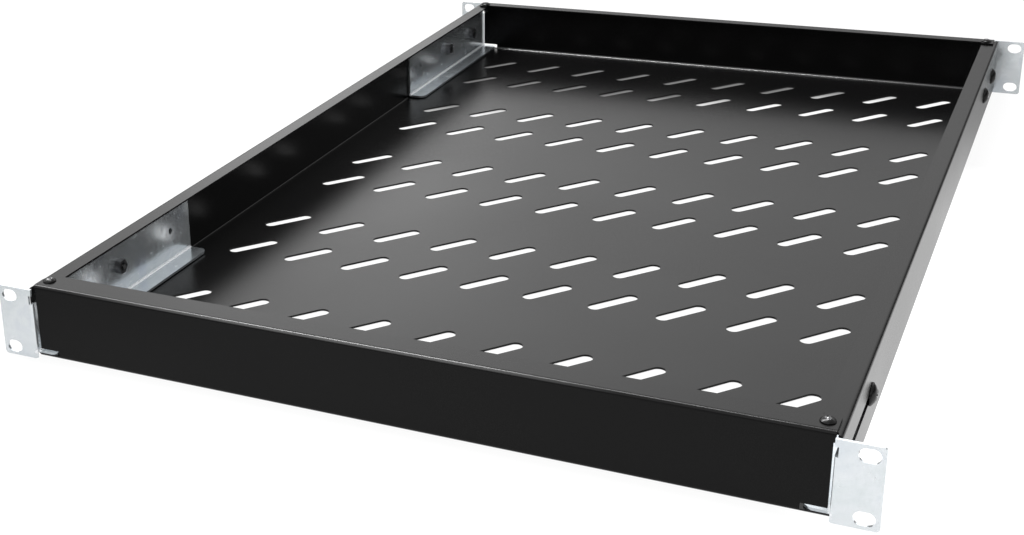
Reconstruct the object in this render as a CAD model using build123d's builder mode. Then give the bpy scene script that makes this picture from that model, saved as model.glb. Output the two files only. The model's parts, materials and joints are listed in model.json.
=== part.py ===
from build123d import *
import os

os.makedirs("parts", exist_ok=True)

# Rack shelf, one rack unit high, held at its front and rear rack posts.
# Millimetres. X runs across the shelf, Y from front to back, Z up. The origin lies
# under the middle of the tray, level with the lower ends of the four ears.

# Rack standard
rack_slot_span = 465.1  # between the middles of the slots of a left and a right ear
rack_slot_rise = 31.75  # between the lower and upper slot of one ear

# Tray, folded from one sheet
tray_margin = 12.05  # from the middle of the ear slots to the side of the tray
tray_depth = 700.0
tray_height = 43.9
tray_base = 0.4  # underside of the tray above the lower ends of the ears
tray_sheet = 1.2
tray_bend = 1.0  # inside radius of the folds
side_edge = 11.3  # in-turned upper edges, measured from the outside of their wall
rear_edge = 11.5
front_edge = 16.5
tab_depth = 14.5  # ends of the front and rear edges, which lie on the side edges
tab_radius = 5.5
lap_gap = 0.1
wall_seam = 1.8  # open seam between an end wall and the side wall beside it

# Vent slots in the floor, in pairs of rows
vent_columns = 10
vent_pairs = 5
vent_length = 33.9
vent_width = 8.4
vent_angle = 51.6
vent_column_pitch = 40.4
vent_row_gap = 49.6
vent_pair_pitch = 136.5

# Rack brackets, each folded from one plate
plate = 1.5
plate_bend = 0.3  # inside radius
web_gap = 0.2  # between the web and the side wall
web_height = 35.9  # upper edge of the web above the tray floor
foot_gap = 0.7  # between the foot and the tray floor
foot_width = 14.0
foot_setback = 0.3  # the foot starts this far behind the front face of the tray
foot_corner = 5.0
web_setback = 10.0  # above its neck the web starts this far behind the foot's end
front_web_reach = 168.0  # inner end of the web, from the front of the tray
rear_web_reach = 171.0  # and from the rear of the tray
spare_hole_diameter = 4.0
spare_hole_inset = 23.0  # from the inner end of the web
ear_height = 42.5
ear_gap = 1.6  # between an ear and the end wall behind it
ear_corner = 2.0
ear_slot_margin = 7.05  # from the middle of the slots to the outer edge of the ear
ear_slot_length = 10.0
ear_slot_height = 7.2
ear_fold_height = 33.4  # the fold between ear and web ends here
notch_height = 5.2  # relief above that fold
notch_width = 1.8

# Ports in the end walls, through which the brackets pass
port_web_gap = 1.2  # inside the web
port_top_gap = 1.3  # above the web
port_foot_gap = 1.5  # above the foot
port_sill_gap = 0.1  # below the foot
port_end_gap = 1.0  # beyond the free edge of the foot
port_overrun = 0.5

# Side screws that clamp the brackets, and their nuts
bracket_travel = 55.0  # how far a front bracket slides out
screw_line = 22.8  # above the underside of the tray
front_screw_inset = 84.0  # from the front of the tray
rear_screw_insets = (34.0, 89.0)  # from the rear of the tray
screw_diameter = 5.0
screw_clearance = 0.3
head_diameter = 12.0
head_height = 3.2
head_round = 1.8
head_gap = 0.1  # under the heads of the screws that slide
recess_arm = 5.4
recess_width = 1.3
recess_depth = 1.6
nut_flats = 8.0
nut_height = 4.0
nut_chamfer = 0.5
thread_gap = 0.1
tip_length = 0.8  # screw end beyond its nut

# Corner screws that hold the lapped edges together
corner_screw_side = 8.3  # from the side of the tray
corner_screw_end = 8.75  # from the front or rear of the tray
corner_head_diameter = 7.5
corner_head_height = 2.1
corner_head_round = 1.2
corner_screw_diameter = 3.5
corner_screw_length = 7.0
corner_screw_clearance = 0.1
corner_recess_arm = 4.0
corner_recess_width = 0.9
corner_recess_depth = 1.3

overrun = 1.0  # how far cuts run past what they cut

# Worked out from the sizes above
ear_slot_middle = rack_slot_span / 2
ear_outer = ear_slot_middle + ear_slot_margin
half_width = ear_slot_middle - tray_margin
tray_width = 2 * half_width
half_depth = tray_depth / 2
fold_size = tray_bend + tray_sheet
floor_top = tray_base + tray_sheet
tray_top = tray_base + tray_height
side_top = tray_top - tray_sheet - lap_gap
end_wall_half = half_width - tray_sheet - wall_seam
web_outer = half_width - tray_sheet - web_gap
web_middle = web_outer - plate / 2
web_inner = web_outer - plate
web_top = floor_top + web_height
foot_bottom = floor_top + foot_gap
foot_top = foot_bottom + plate
foot_inner = web_outer - foot_width
foot_start = foot_setback - half_depth
plate_fold = plate_bend + plate
ear_back = half_depth + ear_gap
screw_height = tray_base + screw_line
hole_diameter = screw_diameter + 2 * screw_clearance
corner_x = half_width - corner_screw_side
corner_y = half_depth - corner_screw_end

sides = {"left": -1, "right": 1}
ends = {"front": -1, "rear": 1}


def folded_section(plane, corners, sheet, bend):
    """Section of a folded sheet, whose middle line runs through the corners."""
    with BuildSketch(plane) as section:
        with BuildLine():
            FilletPolyline(*corners, radius=bend + sheet / 2)
        trace(line_width=sheet)
    return section.sketch


def tray_corners(half_span, edge, top):
    """Middle line of the tray sheet: edge, wall, floor, wall and edge."""
    middle = half_span - tray_sheet / 2
    low = tray_base + tray_sheet / 2
    high = top - tray_sheet / 2
    right = [(middle, low), (middle, high), (half_span - edge, high)]
    return [(-across, up) for across, up in reversed(right)] + right


def edge_plan(end, edge):
    """Outline from above of an end wall's in-turned edge, with its two tabs."""
    tab_inner = half_width - side_edge
    right = [
        (end_wall_half, fold_size),
        (end_wall_half, tab_depth),
        (tab_inner, tab_depth),
        (tab_inner, edge),
    ]
    left = [(-across, inset) for across, inset in reversed(right)]
    outline = [(across, end * (half_depth - inset)) for across, inset in right + left]
    with BuildSketch(Plane.XY.offset(tray_top - tray_sheet)) as plan:
        with BuildLine():
            Polyline(*outline, close=True)
        make_face()
        columns = plan.vertices().group_by(Axis.X)
        for column in (columns[0], columns[-1]):
            fillet(column.sort_by(Axis.Y)[0 if end > 0 else -1], radius=tab_radius)
    return plan.sketch


# Tray: the side walls with the floor, then the end walls with their edges and tabs
with BuildPart() as tray:
    side_section = tray_corners(half_width, side_edge, side_top)
    extrude(folded_section(Plane.XZ, side_section, tray_sheet, tray_bend), amount=half_depth, both=True)

    # Between the side walls the sheet stops where the end folds begin
    strip = fold_size + overrun
    strip_y = half_depth - fold_size + strip / 2
    with BuildSketch(Plane.XY.offset(tray_base - overrun)):
        with GridLocations(tray_width, 2 * strip_y, 1, 2):
            Rectangle(tray_width - 2 * fold_size, strip)
    extrude(amount=tray_height + 2 * overrun, mode=Mode.SUBTRACT)

    # Corner reliefs, where the floor folds of the sides and ends meet
    with BuildSketch(Plane.XY.offset(tray_base - overrun)):
        with GridLocations(tray_width, 2 * strip_y, 1, 2):
            Rectangle(tray_width + 2 * overrun, strip)
    extrude(amount=fold_size + overrun, mode=Mode.SUBTRACT)

    end_section = tray_corners(half_depth, fold_size + tray_sheet, tray_top)
    extrude(folded_section(Plane.YZ, end_section, tray_sheet, tray_bend), amount=end_wall_half, both=True)
    for end, edge in ((-1, front_edge), (1, rear_edge)):
        extrude(edge_plan(end, edge), amount=tray_sheet)

    # Vent slots
    with BuildSketch(Plane.XY.offset(tray_base)):
        with GridLocations(vent_column_pitch, vent_pair_pitch, vent_columns, vent_pairs):
            with GridLocations(vent_column_pitch, vent_row_gap, 1, 2):
                SlotOverall(vent_length, vent_width, rotation=vent_angle)
    extrude(amount=tray_sheet, mode=Mode.SUBTRACT)

    # Ports for the brackets in the end walls, L-shaped as the brackets are
    port_outer = end_wall_half + port_overrun
    port_web_inner = web_inner - port_web_gap
    port_sill = foot_bottom - port_sill_gap
    port_foot_top = foot_top + port_foot_gap
    port_foot_inner = foot_inner - port_end_gap
    with BuildSketch(Plane.XZ):
        with BuildLine():
            Polyline(
                (port_foot_inner, port_sill),
                (port_outer, port_sill),
                (port_outer, web_top + port_top_gap),
                (port_web_inner, web_top + port_top_gap),
                (port_web_inner, port_foot_top),
                (port_foot_inner, port_foot_top),
                close=True,
            )
        make_face()
        mirror(about=Plane.YZ)
    extrude(amount=half_depth + overrun, both=True, mode=Mode.SUBTRACT)

    # Holes for the rear side screws, and slots in which the front ones slide
    with BuildSketch(Plane.YZ):
        with Locations((front_screw_inset - half_depth - bracket_travel / 2, screw_height)):
            SlotCenterToCenter(bracket_travel, hole_diameter)
        with Locations(*[(half_depth - inset, screw_height) for inset in rear_screw_insets]):
            Circle(hole_diameter / 2)
    extrude(amount=half_width + overrun, both=True, mode=Mode.SUBTRACT)

    # Holes for the corner screws, through tab and side edge
    with BuildSketch(Plane.XY.offset(side_top - tray_sheet - overrun)):
        with GridLocations(2 * corner_x, 2 * corner_y, 2, 2):
            Circle(corner_screw_diameter / 2 + corner_screw_clearance)
    extrude(amount=2 * tray_sheet + lap_gap + 2 * overrun, mode=Mode.SUBTRACT)


def rack_bracket(web_reach, screw_insets):
    """Bracket of the front right corner: web on the side wall, foot on the floor, ear outside."""
    web_end = web_reach - half_depth
    ear_middle = ear_back + plate / 2
    neck_bottom = foot_bottom + plate_fold
    with BuildPart() as bracket:
        # Foot and web
        foot_middle = foot_bottom + plate / 2
        corners = [(foot_inner, foot_middle), (web_middle, foot_middle), (web_middle, web_top)]
        angle_section = folded_section(Plane.XZ.offset(-foot_start), corners, plate, plate_bend)
        extrude(angle_section, amount=foot_start - web_end)
        fillet(bracket.edges().filter_by(Axis.Z).sort_by(Axis.X)[:2], radius=foot_corner)
        with BuildSketch(Plane.YZ.offset(web_inner - overrun)):
            with Locations((foot_start - overrun, ear_fold_height)):
                Rectangle(web_setback + overrun, web_top, align=(Align.MIN, Align.MIN))
        extrude(amount=plate + 2 * overrun, mode=Mode.SUBTRACT)

        # Neck through the end wall, folded outward into the ear
        fold_end = web_inner + plate_fold + notch_width
        corners = [(web_middle, foot_start), (web_middle, -ear_middle), (fold_end, -ear_middle)]
        extrude(folded_section(Plane.XY, corners, plate, plate_bend), amount=ear_fold_height)
        with BuildSketch(Plane.XY):
            with Locations((web_middle, foot_start)):
                neck_length = ear_back - plate_bend + foot_start
                Rectangle(plate + 2 * overrun, neck_length, align=(Align.CENTER, Align.MAX))
        extrude(amount=neck_bottom, mode=Mode.SUBTRACT)

        # Ear, with the relief notch above its fold
        with BuildSketch(Plane.XZ.offset(ear_back)) as ear:
            with Locations((web_inner, 0)):
                Rectangle(ear_outer - web_inner, ear_height, align=(Align.MIN, Align.MIN))
            fillet(ear.vertices().group_by(Axis.X)[-1], radius=ear_corner)
            with Locations((web_inner, 0)):
                Rectangle(plate_fold, ear_fold_height, align=(Align.MIN, Align.MIN), mode=Mode.SUBTRACT)
            with Locations((web_inner, ear_fold_height)):
                Rectangle(notch_width, notch_height, align=(Align.MIN, Align.MIN), mode=Mode.SUBTRACT)
            with Locations((ear_slot_middle, ear_height / 2)):
                with GridLocations(ear_slot_length, rack_slot_rise, 1, 2):
                    SlotOverall(ear_slot_length, ear_slot_height, mode=Mode.SUBTRACT)
        extrude(amount=plate)

        # Screw holes and the spare hole near the inner end
        with BuildSketch(Plane.YZ.offset(web_inner - overrun)):
            with Locations(*[(inset - half_depth, screw_height) for inset in screw_insets]):
                Circle(hole_diameter / 2)
            with Locations((web_end - spare_hole_inset, screw_height)):
                Circle(spare_hole_diameter / 2)
        extrude(amount=plate + 2 * overrun, mode=Mode.SUBTRACT)
    return bracket.part


def pan_screw(seat, head, shank, recess):
    """Screw with its head's underside on the seat plane and a cross recess on top."""
    head_radius, head_rise, rounding = head
    shank_radius, shank_length = shank
    arm, width, depth = recess
    out = Axis(seat.origin, seat.z_dir)
    with BuildPart() as screw:
        with BuildSketch(seat):
            Circle(head_radius)
        extrude(amount=head_rise)
        fillet(screw.edges().filter_by(GeomType.CIRCLE).sort_by(out)[-1], radius=rounding)
        with BuildSketch(seat):
            Circle(shank_radius)
        extrude(amount=-shank_length)
        with BuildSketch(seat.offset(head_rise)):
            Rectangle(arm, width)
            Rectangle(width, arm)
        extrude(amount=-depth, mode=Mode.SUBTRACT)
    return screw


def hex_nut(seat):
    """Nut standing on the seat plane, its corners turned off at both ends."""
    flat_radius = nut_flats / 2
    section = Plane(seat.origin, x_dir=seat.x_dir, z_dir=-seat.y_dir)
    with BuildPart() as nut:
        with BuildSketch(seat):
            corners = RegularPolygon(radius=flat_radius, side_count=6, major_radius=False)
            corner_radius = corners.vertices()[0].distance_to(Vertex(*seat.origin))
            Circle(screw_diameter / 2 + thread_gap, mode=Mode.SUBTRACT)
        extrude(amount=nut_height)
        with BuildSketch(section):
            with BuildLine():
                Polyline(
                    (0, 0),
                    (flat_radius, 0),
                    (corner_radius, nut_chamfer),
                    (corner_radius, nut_height - nut_chamfer),
                    (flat_radius, nut_height),
                    (0, nut_height),
                    close=True,
                )
            make_face()
        revolve(axis=Axis(seat.origin, seat.z_dir), mode=Mode.INTERSECT)
    return nut


def save(piece, name):
    """Label the finished piece and write it."""
    piece.part.label = name
    export_step(piece.part, f"parts/{name}.step")


save(tray, "tray")

# Brackets: drawn for the front right corner, then mirrored to the others
front_right = rack_bracket(front_web_reach, [front_screw_inset])
rear_right = mirror(rack_bracket(rear_web_reach, rear_screw_insets), about=Plane.XZ)
for end, right_shape in (("front", front_right), ("rear", rear_right)):
    with BuildPart() as right_bracket:
        add(right_shape)
    save(right_bracket, f"bracket_{end}_right")
    with BuildPart() as left_bracket:
        mirror(right_shape, about=Plane.YZ)
    save(left_bracket, f"bracket_{end}_left")

# Side screws and nuts, clamping wall and web between head and nut
head_size = (head_diameter / 2, head_height, head_round)
recess_size = (recess_arm, recess_width, recess_depth)
screw_places = [("front", front_screw_inset - half_depth, head_gap)]
for name, inset in zip(("rear_outer", "rear_inner"), rear_screw_insets):
    screw_places.append((name, half_depth - inset, 0))
for place, along, gap in screw_places:
    shank_size = (screw_diameter / 2, half_width + gap - web_inner + nut_height + tip_length)
    for side, x_sign in sides.items():
        head_origin = (x_sign * (half_width + gap), along, screw_height)
        head_seat = Plane(head_origin, x_dir=(0, 1, 0), z_dir=(x_sign, 0, 0))
        save(pan_screw(head_seat, head_size, shank_size, recess_size), f"side_screw_{place}_{side}")
        nut_origin = (x_sign * web_inner, along, screw_height)
        save(hex_nut(Plane(nut_origin, x_dir=(0, 1, 0), z_dir=(-x_sign, 0, 0))), f"side_nut_{place}_{side}")

# Corner screws
corner_head = (corner_head_diameter / 2, corner_head_height, corner_head_round)
corner_shank = (corner_screw_diameter / 2, corner_screw_length)
corner_recess = (corner_recess_arm, corner_recess_width, corner_recess_depth)
for end, y_sign in ends.items():
    for side, x_sign in sides.items():
        seat = Plane((x_sign * corner_x, y_sign * corner_y, tray_top))
        save(pan_screw(seat, corner_head, corner_shank, corner_recess), f"corner_screw_{end}_{side}")
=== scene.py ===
import json
from functools import reduce
from math import atan2, cos, pi, radians, sin

import bpy
from mathutils import Matrix, Vector


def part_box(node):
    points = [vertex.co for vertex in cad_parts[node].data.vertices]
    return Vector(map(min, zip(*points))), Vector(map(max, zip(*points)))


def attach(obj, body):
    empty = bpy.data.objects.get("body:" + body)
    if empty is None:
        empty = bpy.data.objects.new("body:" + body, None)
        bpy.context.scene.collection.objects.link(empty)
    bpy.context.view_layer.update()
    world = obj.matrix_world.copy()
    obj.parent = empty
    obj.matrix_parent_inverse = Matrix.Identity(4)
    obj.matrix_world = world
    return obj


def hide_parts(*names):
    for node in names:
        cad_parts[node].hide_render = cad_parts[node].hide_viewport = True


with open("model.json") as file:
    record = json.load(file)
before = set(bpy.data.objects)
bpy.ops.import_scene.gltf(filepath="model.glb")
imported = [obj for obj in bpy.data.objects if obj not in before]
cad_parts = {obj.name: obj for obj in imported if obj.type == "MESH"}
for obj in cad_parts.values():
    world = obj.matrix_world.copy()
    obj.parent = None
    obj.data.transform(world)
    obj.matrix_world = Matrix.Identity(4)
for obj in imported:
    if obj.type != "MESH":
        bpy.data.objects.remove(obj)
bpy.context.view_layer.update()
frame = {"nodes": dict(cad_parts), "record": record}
nodes = frame["nodes"]
record = frame["record"]
scene = bpy.context.scene


# Camera: its place in metres, and in degrees how far it turns left, tilts down and rolls
CAMERA_PLACE = (0.304125, -1.002481, 0.394841)
TURN, TILT, ROLL = 28.64589, 21.17471, -2.80218

camera_data = bpy.data.cameras.new("camera")
camera_data.sensor_width = 36.0
camera_data.sensor_fit = "HORIZONTAL"
camera_data.lens = 55.875
camera_data.shift_x = 0.2190
camera_data.shift_y = -0.0464
camera_data.clip_start = 0.01
camera_data.clip_end = 100.0
camera = bpy.data.objects.new("camera", camera_data)
scene.collection.objects.link(camera)
camera.matrix_world = (
    Matrix.Translation(CAMERA_PLACE)
    @ Matrix.Rotation(radians(TURN), 4, "Z")
    @ Matrix.Rotation(radians(90.0 - TILT), 4, "X")
    @ Matrix.Rotation(radians(ROLL), 4, "Z")
)
scene.camera = camera


# Shader nodes
class Nodes:
    """Adds and links the nodes of one material, or of the world."""

    def __init__(self, owner, output):
        owner.use_nodes = True
        self.tree = owner.node_tree
        self.tree.nodes.clear()
        self.surface = self.tree.nodes.new(output).inputs["Surface"]

    def fill(self, socket, value):
        """Links a node's output to a socket, or sets the socket to a plain value."""
        if isinstance(value, bpy.types.NodeSocket):
            self.tree.links.new(value, socket)
        else:
            socket.default_value = value

    def add(self, kind, inputs=None, **options):
        """Adds a node, fills its inputs and gives its outputs."""
        node = self.tree.nodes.new(f"ShaderNode{kind}")
        for name, value in options.items():
            setattr(node, name, value)
        for name, value in (inputs or {}).items():
            self.fill(node.inputs[name], value)
        return node.outputs

    def place(self, scale=(1.0, 1.0, 1.0), move=(0.0, 0.0, 0.0)):
        """Object coordinates in metres, scaled and then moved."""
        coords = self.add("TexCoord")["Object"]
        return self.add("Mapping", {"Vector": coords, "Scale": scale, "Location": move})["Vector"]

    def noise(self, vector, size, detail=2.0, rough=0.5, distortion=0.0):
        """Noise from 0 to 1, with cells of about the given size in metres."""
        return self.add("TexNoise", {
            "Vector": vector,
            "Scale": 1.0 / size,
            "Detail": detail,
            "Roughness": rough,
            "Distortion": distortion,
        })["Fac"]

    def slope(self, value, start, end):
        """Even slope between two (position, level) points, flat outside them."""
        return self.add("MapRange", {
            "Value": value,
            "From Min": start[0],
            "From Max": end[0],
            "To Min": start[1],
            "To Max": end[1],
        })["Result"]

    def ramp(self, value, *stops, interpolation="LINEAR"):
        """Colour ramp through (position, colour) stops."""
        node = self.tree.nodes.new("ShaderNodeValToRGB")
        self.fill(node.inputs["Fac"], value)
        node.color_ramp.interpolation = interpolation
        elements = node.color_ramp.elements
        while len(elements) < len(stops):
            elements.new(0.5)
        for element, (position, colour) in zip(elements, stops):
            element.position = position
            element.color = (*colour, 1.0)
        return node.outputs["Color"]

    def blend(self, share, base, colour):
        """The base colour, covered by another colour by that one's share."""
        inputs = {0: share, 6: base, 7: (*colour, 1.0)}
        return self.add("Mix", inputs, data_type="RGBA")[2]

    def bump(self, height, depth, strength, below=None):
        """Normal of a relief of the given depth in metres, on top of another relief's normal."""
        inputs = {"Height": height, "Distance": depth, "Strength": strength}
        if below is not None:
            inputs["Normal"] = below
        return self.add("Bump", inputs)["Normal"]

    def math(self, operation, *values):
        return self.add("Math", dict(enumerate(values)), operation=operation)["Value"]

    def chain(self, operation, values):
        return reduce(lambda first, second: self.math(operation, first, second), values)

    def total(self, *values):
        return self.chain("ADD", values)

    def product(self, *values):
        return self.chain("MULTIPLY", values)

    def largest(self, *values):
        return self.chain("MAXIMUM", values)

    def length(self, vector):
        return self.add("VectorMath", {0: vector}, operation="LENGTH")["Value"]

    def axes(self, vector):
        return tuple(self.add("SeparateXYZ", {"Vector": vector}))

    def from_line(self, y, z):
        """Distance in metres from the line along x through the given y and z."""
        return self.length(self.place(scale=(0.0, 1.0, 1.0), move=(0.0, -y, -z)))


def grey(level):
    return (level, level, level)


def new_material(name):
    material = bpy.data.materials.new(name)
    return material, Nodes(material, "ShaderNodeOutputMaterial")


# Materials. Places on the shelf that they follow, in metres
SHEET = 0.0012  # the tray's
PLATE = 0.0015  # the brackets'
WEB_GAP = 0.0002  # between a bracket's web and the tray's wall
tray_low, tray_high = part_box("tray")
FRONT_TOP_EDGE = (tray_low.y, tray_high.z)  # y and z
REAR_WALL_FOOT = (tray_high.y - SHEET, tray_low.z + SHEET)  # y and z
WEB_FACE = tray_high.x - SHEET - WEB_GAP - PLATE  # inner face of a web, from the middle
WEB_FOLD = 0.0040  # z of the fold between web and foot, on that face


def powder_coat():
    """Satin black powder coat: a fine grain over a faint orange peel, with painted highlights on
    two folds.
    """
    material, n = new_material("powder_coat")
    space = n.place()
    patches = n.noise(space, size=0.16)
    grain = n.noise(space, size=0.00055, detail=3.0, rough=0.6)
    peel = n.noise(space, size=0.0019, rough=0.4)
    colour = n.ramp(patches, (0.3, (0.0016, 0.0016, 0.0017)), (0.7, (0.0026, 0.0025, 0.0025)))
    rough_patches = n.slope(patches, (0.3, 0.22), (0.7, 0.27))
    rough_grain = n.slope(grain, (0.0, -0.03), (1.0, 0.05))
    normal = n.bump(peel, depth=0.000035, strength=0.75)
    normal = n.bump(grain, depth=0.00002, strength=0.6, below=normal)

    # Painted highlights on two folds: the front top edge in its middle, and the rear wall's foot,
    # less to the right
    across = n.axes(space)[0]
    front_edge_highlight = n.product(
        n.slope(n.from_line(*FRONT_TOP_EDGE), (0.0010, 1.0), (0.0016, 0.0)),
        n.slope(across, (-0.20, 0.0), (-0.09, 1.0)),
        n.slope(across, (0.04, 1.0), (0.12, 0.0)),
    )
    rear_foot_highlight = n.product(
        n.slope(n.from_line(*REAR_WALL_FOOT), (0.0008, 1.0), (0.0018, 0.0)),
        n.slope(across, (0.08, 1.0), (0.20, 0.35)),
    )
    # Painted highlights: the folds get a paler, metallic colour
    colour = n.blend(front_edge_highlight, colour, grey(0.07))
    colour = n.blend(rear_foot_highlight, colour, grey(0.20))
    coat = n.add("BsdfPrincipled", {
        "Base Color": colour,
        "Metallic": n.largest(front_edge_highlight, rear_foot_highlight),
        "Roughness": n.total(rough_patches, rough_grain),
        "IOR": 1.5,
        "Specular IOR Level": 0.15,
        "Normal": normal,
    })
    n.fill(n.surface, coat["BSDF"])
    return material


def zinc_plate():
    """Bright zinc plating on rolled steel: a lengthwise grain, faint clouds and dull specks."""
    material, n = new_material("zinc_plate")
    space = n.place()
    clouds = n.noise(space, size=0.03, detail=3.0, rough=0.55, distortion=0.6)
    mottle = n.noise(space, size=0.0045, detail=3.0, rough=0.6)
    rolled = n.noise(n.place(scale=(1.0, 0.06, 1.0)), size=0.0006, detail=3.0, rough=0.6)
    specks = n.noise(space, size=0.0013, rough=0.6)
    colour = n.ramp(
        clouds,
        (0.28, (0.65, 0.70, 0.75)),
        (0.46, (0.755, 0.79, 0.815)),
        (0.60, (0.71, 0.755, 0.775)),
        (0.75, (0.665, 0.71, 0.78)),
    )
    rough_mottle = n.slope(mottle, (0.3, 0.16), (0.7, 0.27))
    rough_grain = n.slope(rolled, (0.0, -0.03), (1.0, 0.03))
    normal = n.bump(rolled, depth=0.000012, strength=0.5)
    normal = n.bump(mottle, depth=0.00004, strength=0.5, below=normal)

    # Dull specks, fewer on the ears
    x, _, z = n.axes(space)
    outward = n.math("SUBTRACT", n.math("ABSOLUTE", x), WEB_FACE)
    speck_share = n.slope(outward, (0.0004, 0.24), (0.0019, 0.10))
    specked = n.product(speck_share, n.slope(specks, (0.5, 0.0), (0.8, 1.0)))
    colour = n.blend(specked, colour, (0.35, 0.38, 0.42))

    # Painted shade: the foot drawn darker than the web
    painted_foot_shade = n.product(
        n.slope(outward, (-0.0014, 1.0), (-0.0004, 0.0)),
        n.slope(z, (0.0045, 1.0), (0.006, 0.0)),
        0.55,
    )
    colour = n.blend(painted_foot_shade, colour, (0.30, 0.33, 0.36))

    # Painted highlight: a pale line along the fold between web and foot, patchy with the specks
    upward = n.math("SUBTRACT", z, WEB_FOLD)
    from_fold = n.add("CombineXYZ", {"X": outward, "Z": upward})["Vector"]
    fold_highlight = n.product(
        n.slope(n.length(from_fold), (0.0007, 1.0), (0.0016, 0.0)),
        n.slope(specks, (0.35, 0.55), (0.55, 1.0)),
    )
    colour = n.blend(fold_highlight, colour, (0.93, 0.95, 0.97))
    plating = n.add("BsdfPrincipled", {
        "Base Color": colour,
        "Metallic": n.slope(fold_highlight, (0.0, 0.82), (1.0, 0.35)),
        "Roughness": n.total(rough_mottle, rough_grain),
        "Normal": normal,
    })
    n.fill(n.surface, plating["BSDF"])
    return material


def black_screw():
    """Black plated screw, its plating worn bright in specks on the head, with a painted highlight
    in the recess.
    """
    material, n = new_material("black_screw")
    space = n.place()
    specks = n.noise(space, size=0.0006, detail=3.0, rough=0.6)
    wear = n.noise(space, size=0.0015, detail=3.0, rough=0.6)
    from_middle = n.length(n.place(scale=(1.0, 1.0, 0.0)))
    # Painted highlight: the recess drawn pale, on top of the worn specks
    recess_highlight = n.product(n.slope(from_middle, (0.0012, 1.0), (0.0026, 0.0)), 0.8)
    wear_and_highlight = n.total(n.slope(wear, (0.3, -0.25), (0.75, 0.45)), recess_highlight)
    colour = n.ramp(wear_and_highlight, (0.25, grey(0.004)), (0.5, grey(0.02)), (0.95, (0.55, 0.55, 0.56)))
    plating = n.add("BsdfPrincipled", {
        "Base Color": colour,
        "Metallic": n.slope(wear_and_highlight, (0.2, 0.3), (0.8, 1.0)),
        "Roughness": n.slope(specks, (0.0, 0.16), (1.0, 0.30)),
        "IOR": 1.5,
        "Specular IOR Level": 0.3,
        "Normal": n.bump(specks, depth=0.00002, strength=0.4),
    })
    n.fill(n.surface, plating["BSDF"])
    return material


def nut_steel():
    """Dark plated nut."""
    material, n = new_material("nut_steel")
    space = n.place()
    specks = n.noise(space, size=0.0005, detail=3.0, rough=0.6)
    tone = n.noise(space, size=0.003)
    colour = n.ramp(tone, (0.35, (0.05, 0.05, 0.052)), (0.7, (0.16, 0.16, 0.165)))
    plating = n.add("BsdfPrincipled", {
        "Base Color": colour,
        "Metallic": 0.8,
        "Roughness": n.slope(specks, (0.0, 0.28), (1.0, 0.45)),
        "Normal": n.bump(specks, depth=0.00002, strength=0.4),
    })
    n.fill(n.surface, plating["BSDF"])
    return material


materials = {
    "powder_coat": powder_coat(),
    "zinc_plate": zinc_plate(),
    "black_screw": black_screw(),
    "nut_steel": nut_steel(),
}
for part in record["subparts"]:
    mesh = nodes[part["node"]].data
    mesh.materials.clear()
    mesh.materials.append(materials[part["material_slot"]])


# Screws: pan heads with a tapered cross recess, on threaded shanks. Sizes in metres
SIDE_SCREW = {
    "radius": 0.006,
    "height": 0.0032,
    "rim": 0.0008,
    "shank": 0.0025,
    "arm": 0.0027,
    "half_slot": 0.00065,
    "depth": 0.0016,
    "pitch": 0.0008,
}
CORNER_SCREW = {
    "radius": 0.00375,
    "height": 0.0021,
    "rim": 0.0005,
    "shank": 0.00175,
    "arm": 0.0020,
    "half_slot": 0.0005,
    "depth": 0.0013,
    "pitch": 0.0006,
}
DOME_POWER = 2.4  # a higher power gives a flatter top
LIP = 0.0001  # width and depth of the bevel round the recess
RECESS_ARM, RECESS_SLOT = 0.62, 0.40  # the recess at its bottom, against its mouth
RECESS_POINT = 1.1  # depth of its middle, against its depth
ARC_STEPS = 5  # outline points in an eighth of a turn, beyond the end of an arm
DOME_RINGS = (0.15, 0.3, 0.45, 0.6, 0.75, 0.87, 0.95, 1.0)  # from the recess out to the rim
DOME_EDGE = 0.975  # radius of the last of them, against the head's
RIM_TOP, RIM_FOOT = 0.7, 0.1  # ends of the upright rim, against its height
THREAD_DEPTH = 0.45  # against the pitch
TIP = 0.8  # radius of the tip, against the shank's
SHARP = radians(32)
FIRST_TURN, NEXT_TURN = 17, 53  # degrees by which the recesses are turned


def cross_outline(angle, arm, half_slot):
    """Distance from the middle of a cross to its outline."""
    turn = angle % (pi / 2)
    turn = min(turn, pi / 2 - turn)
    if sin(turn) * arm <= half_slot * cos(turn):
        return arm / cos(turn)
    return half_slot / sin(turn)


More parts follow.
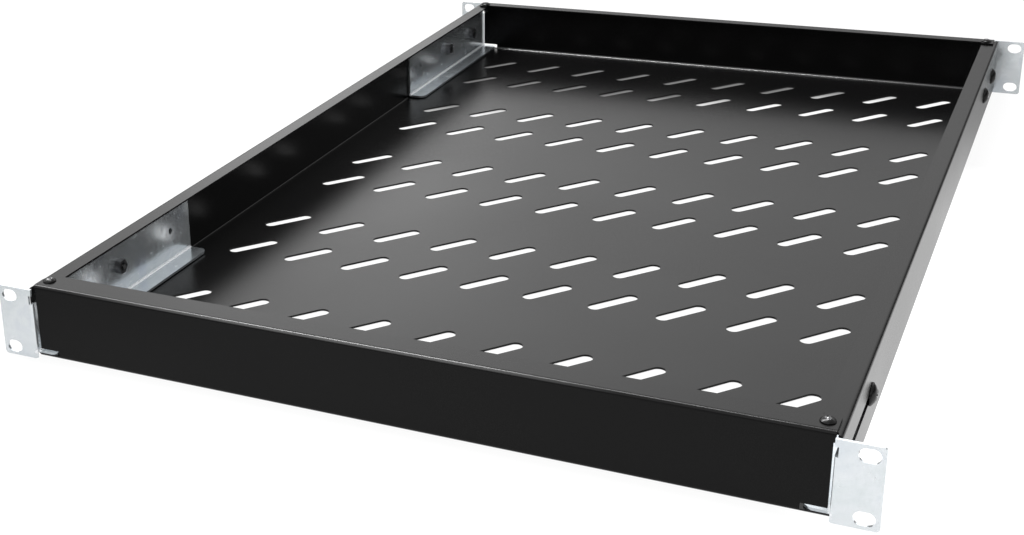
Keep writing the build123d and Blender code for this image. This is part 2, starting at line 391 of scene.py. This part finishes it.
def screw_mesh(name, radius, height, rim, shank, length, arm, half_slot, depth, pitch):
    """Screw along z, its head standing on z = 0 and its shank below."""
    corner = atan2(half_slot, arm)
    arc = [corner + (pi / 4 - corner) * k / ARC_STEPS for k in range(1, ARC_STEPS + 1)]
    octant = [0.0, corner / 2, corner] + arc
    quarter = octant + [pi / 2 - a for a in reversed(octant[1:-1])]
    angles = [k * pi / 2 + a for k in range(4) for a in quarter]

    def dome(r):
        return rim + (height - rim) * (1 - (r / radius) ** DOME_POWER)

    def mouth(a):
        return cross_outline(a, arm, half_slot)

    def bottom(a):
        return cross_outline(a, RECESS_ARM * arm, RECESS_SLOT * half_slot)

    def ring(outline, level):
        return [(cos(a) * outline(a), sin(a) * outline(a), level(outline(a))) for a in angles]

    def dome_ring(share):
        edge = DOME_EDGE * radius
        return ring(lambda a: (mouth(a) + LIP) * (1 - share) + edge * share, dome)

    def round_ring(r, level):
        return ring(lambda _: r, lambda _: level)

    # Recess and dome
    rings = [
        ring(bottom, lambda _: height - depth),
        ring(mouth, lambda r: dome(r) - LIP),
        ring(lambda a: mouth(a) + LIP, dome),
    ]
    rings += [dome_ring(share) for share in DOME_RINGS]

    # Rim, thread and tip
    bevel = RIM_FOOT * rim
    rings += [round_ring(radius, RIM_TOP * rim), round_ring(radius, bevel)]
    rings += [round_ring(radius - bevel, 0.0), round_ring(shank, 0.0)]
    for k in range(int(length / pitch * 2) - 2):
        groove = THREAD_DEPTH * pitch if k % 2 else 0.0
        rings.append(round_ring(shank - groove, -(k + 1) * pitch / 2))
    rings.append(round_ring(TIP * shank, -length))

    # One surface from the middle of the recess to the middle of the tip
    count = len(angles)
    around = [(k, (k + 1) % count) for k in range(count)]
    points = [(0.0, 0.0, height - RECESS_POINT * depth)]
    points += [point for loop in rings for point in loop]
    points += [(0.0, 0.0, -length)]
    faces = [(0, 1 + k, 1 + after) for k, after in around]
    for i in range(len(rings) - 1):
        near, far = 1 + i * count, 1 + (i + 1) * count
        faces += [(near + k, far + k, far + after, near + after) for k, after in around]
    end = len(points) - 1
    base = end - count
    faces += [(end, base + after, base + k) for k, after in around]

    mesh = bpy.data.meshes.new(name)
    mesh.from_pydata(points, [], faces)
    mesh.polygons.foreach_set("use_smooth", [True] * len(faces))
    mesh.set_sharp_from_angle(angle=SHARP)
    mesh.materials.append(materials["black_screw"])
    return mesh


body_of_node = {n: b for b, names in record["behaviour"]["bodies"].items() for n in names}
screws = [p["node"] for p in record["subparts"] if p["material_slot"] == "black_screw"]
for index, node in enumerate(screws):
    low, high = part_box(node)
    upright = node.startswith("corner")
    size = CORNER_SCREW if upright else SIDE_SCREW
    axis = 2 if upright else 0
    side = 1.0 if upright or low.x + high.x > 0 else -1.0
    head, tip = (high[axis], low[axis]) if side > 0 else (low[axis], high[axis])
    seat = head - side * size["height"]
    place = (low + high) / 2
    place[axis] = seat
    outward = Vector((0.0, 0.0, 0.0))
    outward[axis] = side
    name = f"{node}_head"
    piece = bpy.data.objects.new(name, screw_mesh(name, length=abs(seat - tip), **size))
    scene.collection.objects.link(piece)
    aim = outward.to_track_quat("Z", "Y").to_matrix().to_4x4()
    spin = Matrix.Rotation(radians(FIRST_TURN + NEXT_TURN * index), 4, "Z")
    piece.matrix_world = Matrix.Translation(place) @ aim @ spin
    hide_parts(node)
    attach(piece, body_of_node[node])


# Floor
FLOOR_REACH = 12.0  # metres from the middle
SEEN_WHITE = 0.93  # share of plain white in what the camera sees, the rest being lit ground
CORNER_SLANT = 0.48  # slope in y against x of the dark corner's edge


def ground():
    """White ground: the camera and reflections see nearly white, with the shadow kept faint."""
    material, n = new_material("ground")
    space = n.place()
    x, y, _ = n.axes(space)
    ray = n.add("LightPath")
    tone = n.noise(space, size=0.4)
    colour = n.ramp(tone, (0.3, grey(0.86)), (0.7, grey(0.88)))
    lit = n.add("BsdfDiffuse", {"Color": colour})["BSDF"]

    # Reflections see it darker far off, to the rear and on the left
    around = n.product(
        n.slope(n.length(space), (0.75, 1.0), (1.4, 0.12)),
        n.slope(y, (0.05, 1.0), (0.30, 0.62)),
        n.slope(x, (-0.30, 0.70), (-0.14, 1.0)),
    )

    # Painted light: the ground glows brighter along the right wall
    right_wall_glow = n.product(
        n.slope(x, (0.19, 0.0), (0.215, 0.4)),
        n.slope(y, (-0.36, 0.0), (-0.32, 1.0)),
        n.slope(y, (0.05, 1.0), (0.25, 0.0)),
    )
    strength = n.largest(n.total(around, right_wall_glow), ray["Is Camera Ray"])

    # Painted shadow: the ground darker under the rear left corner, where the vent slots show it
    slant = n.math("SUBTRACT", y, n.product(x, CORNER_SLANT))
    clear = n.largest(
        n.slope(slant, (0.222, 1.0), (0.262, 0.0)),
        n.slope(n.math("ABSOLUTE", x), (0.212, 0.0), (0.216, 1.0)),
        n.slope(y, (0.340, 0.0), (0.344, 1.0)),
        ray["Is Glossy Ray"],
    )
    shade = n.ramp(clear, (0.0, (0.085, 0.083, 0.083)), (1.0, grey(1.0)))
    white = n.add("Emission", {"Color": shade, "Strength": strength})["Emission"]

    share = n.largest(n.product(ray["Is Camera Ray"], SEEN_WHITE), ray["Is Glossy Ray"])
    mix = n.add("MixShader", {"Fac": share, 1: lit, 2: white})
    n.fill(n.surface, mix["Shader"])
    return material


floor_mesh = bpy.data.meshes.new("floor")
corners = [(-1, -1), (1, -1), (1, 1), (-1, 1)]
floor_mesh.from_pydata(
    [(x * FLOOR_REACH, y * FLOOR_REACH, 0.0) for x, y in corners], [], [(0, 1, 2, 3)]
)
floor_mesh.materials.append(ground())
floor = bpy.data.objects.new("floor", floor_mesh)
scene.collection.objects.link(floor)


# World: white to the camera, and a studio with a dark horizon to everything else
world = bpy.data.worlds.new("studio")
studio = Nodes(world, "ShaderNodeOutputWorld")
direction = studio.add("TexCoord")["Generated"]
right, _, up = studio.axes(direction)


def smooth(value, *stops):
    """Smooth grey ramp through (position, level) stops."""
    greys = [(position, grey(level)) for position, level in stops]
    return studio.ramp(value, *greys, interpolation="EASE")


def glow(toward, edge, core):
    """Round soft light around a direction, between the cosines of its edge and its core."""
    inputs = {0: direction, 1: toward}
    aim = studio.add("VectorMath", inputs, operation="DOT_PRODUCT")["Value"]
    return smooth(aim, (edge, 0.0), (core, 1.0))


# Brightness by height above the horizon, less to the right
height = smooth(
    up, (0.0, 0.06), (0.12, 0.10), (0.29, 0.42), (0.36, 0.94), (0.46, 1.32), (1.0, 0.8)
)
sky = studio.product(height, smooth(right, (0.05, 1.0), (0.5, 0.5)), 1.5)

# A bright window behind the left side, above its sill, and its lower end further left
window = glow((-0.427, 0.838, 0.342), 0.955, 0.995)
window = studio.product(window, smooth(up, (0.24, 0.0), (0.31, 1.0)), 0.62)
window_end = studio.product(glow((-0.4385, 0.8607, 0.2588), 0.9903, 0.9976), 1.5)

# A small bright lamp behind the right side, which lines the folds of the brackets
lamp = studio.product(glow((0.393, 0.772, 0.5), 0.985, 0.998), 1.1)

level = studio.total(sky, window, window_end, lamp)
white = (*grey(1.0), 1.0)
room = studio.add("Background", {"Color": white, "Strength": level})["Background"]
seen = studio.add("Background", {"Color": white, "Strength": 1.0})["Background"]
camera_ray = studio.add("LightPath")["Is Camera Ray"]
mix = studio.add("MixShader", {"Fac": camera_ray, 1: room, 2: seen})
studio.fill(studio.surface, mix["Shader"])
scene.world = world


# Light: one long softbox above the left side, aimed at the middle of the shelf
STRIP_PLACE = Vector((-0.75, 0.0, 1.75))
STRIP_AIM = Vector((0.0, 0.0, 0.0))

strip_light = bpy.data.lights.new("strip", "AREA")
strip_light.shape = "RECTANGLE"
strip_light.size = 0.45
strip_light.size_y = 1.6
strip_light.energy = 70.0
strip = bpy.data.objects.new("strip", strip_light)
scene.collection.objects.link(strip)
strip.location = STRIP_PLACE
strip.rotation_mode = "QUATERNION"
strip.rotation_quaternion = (STRIP_AIM - STRIP_PLACE).to_track_quat("-Z", "Y")

scene.view_settings.view_transform = "Standard"
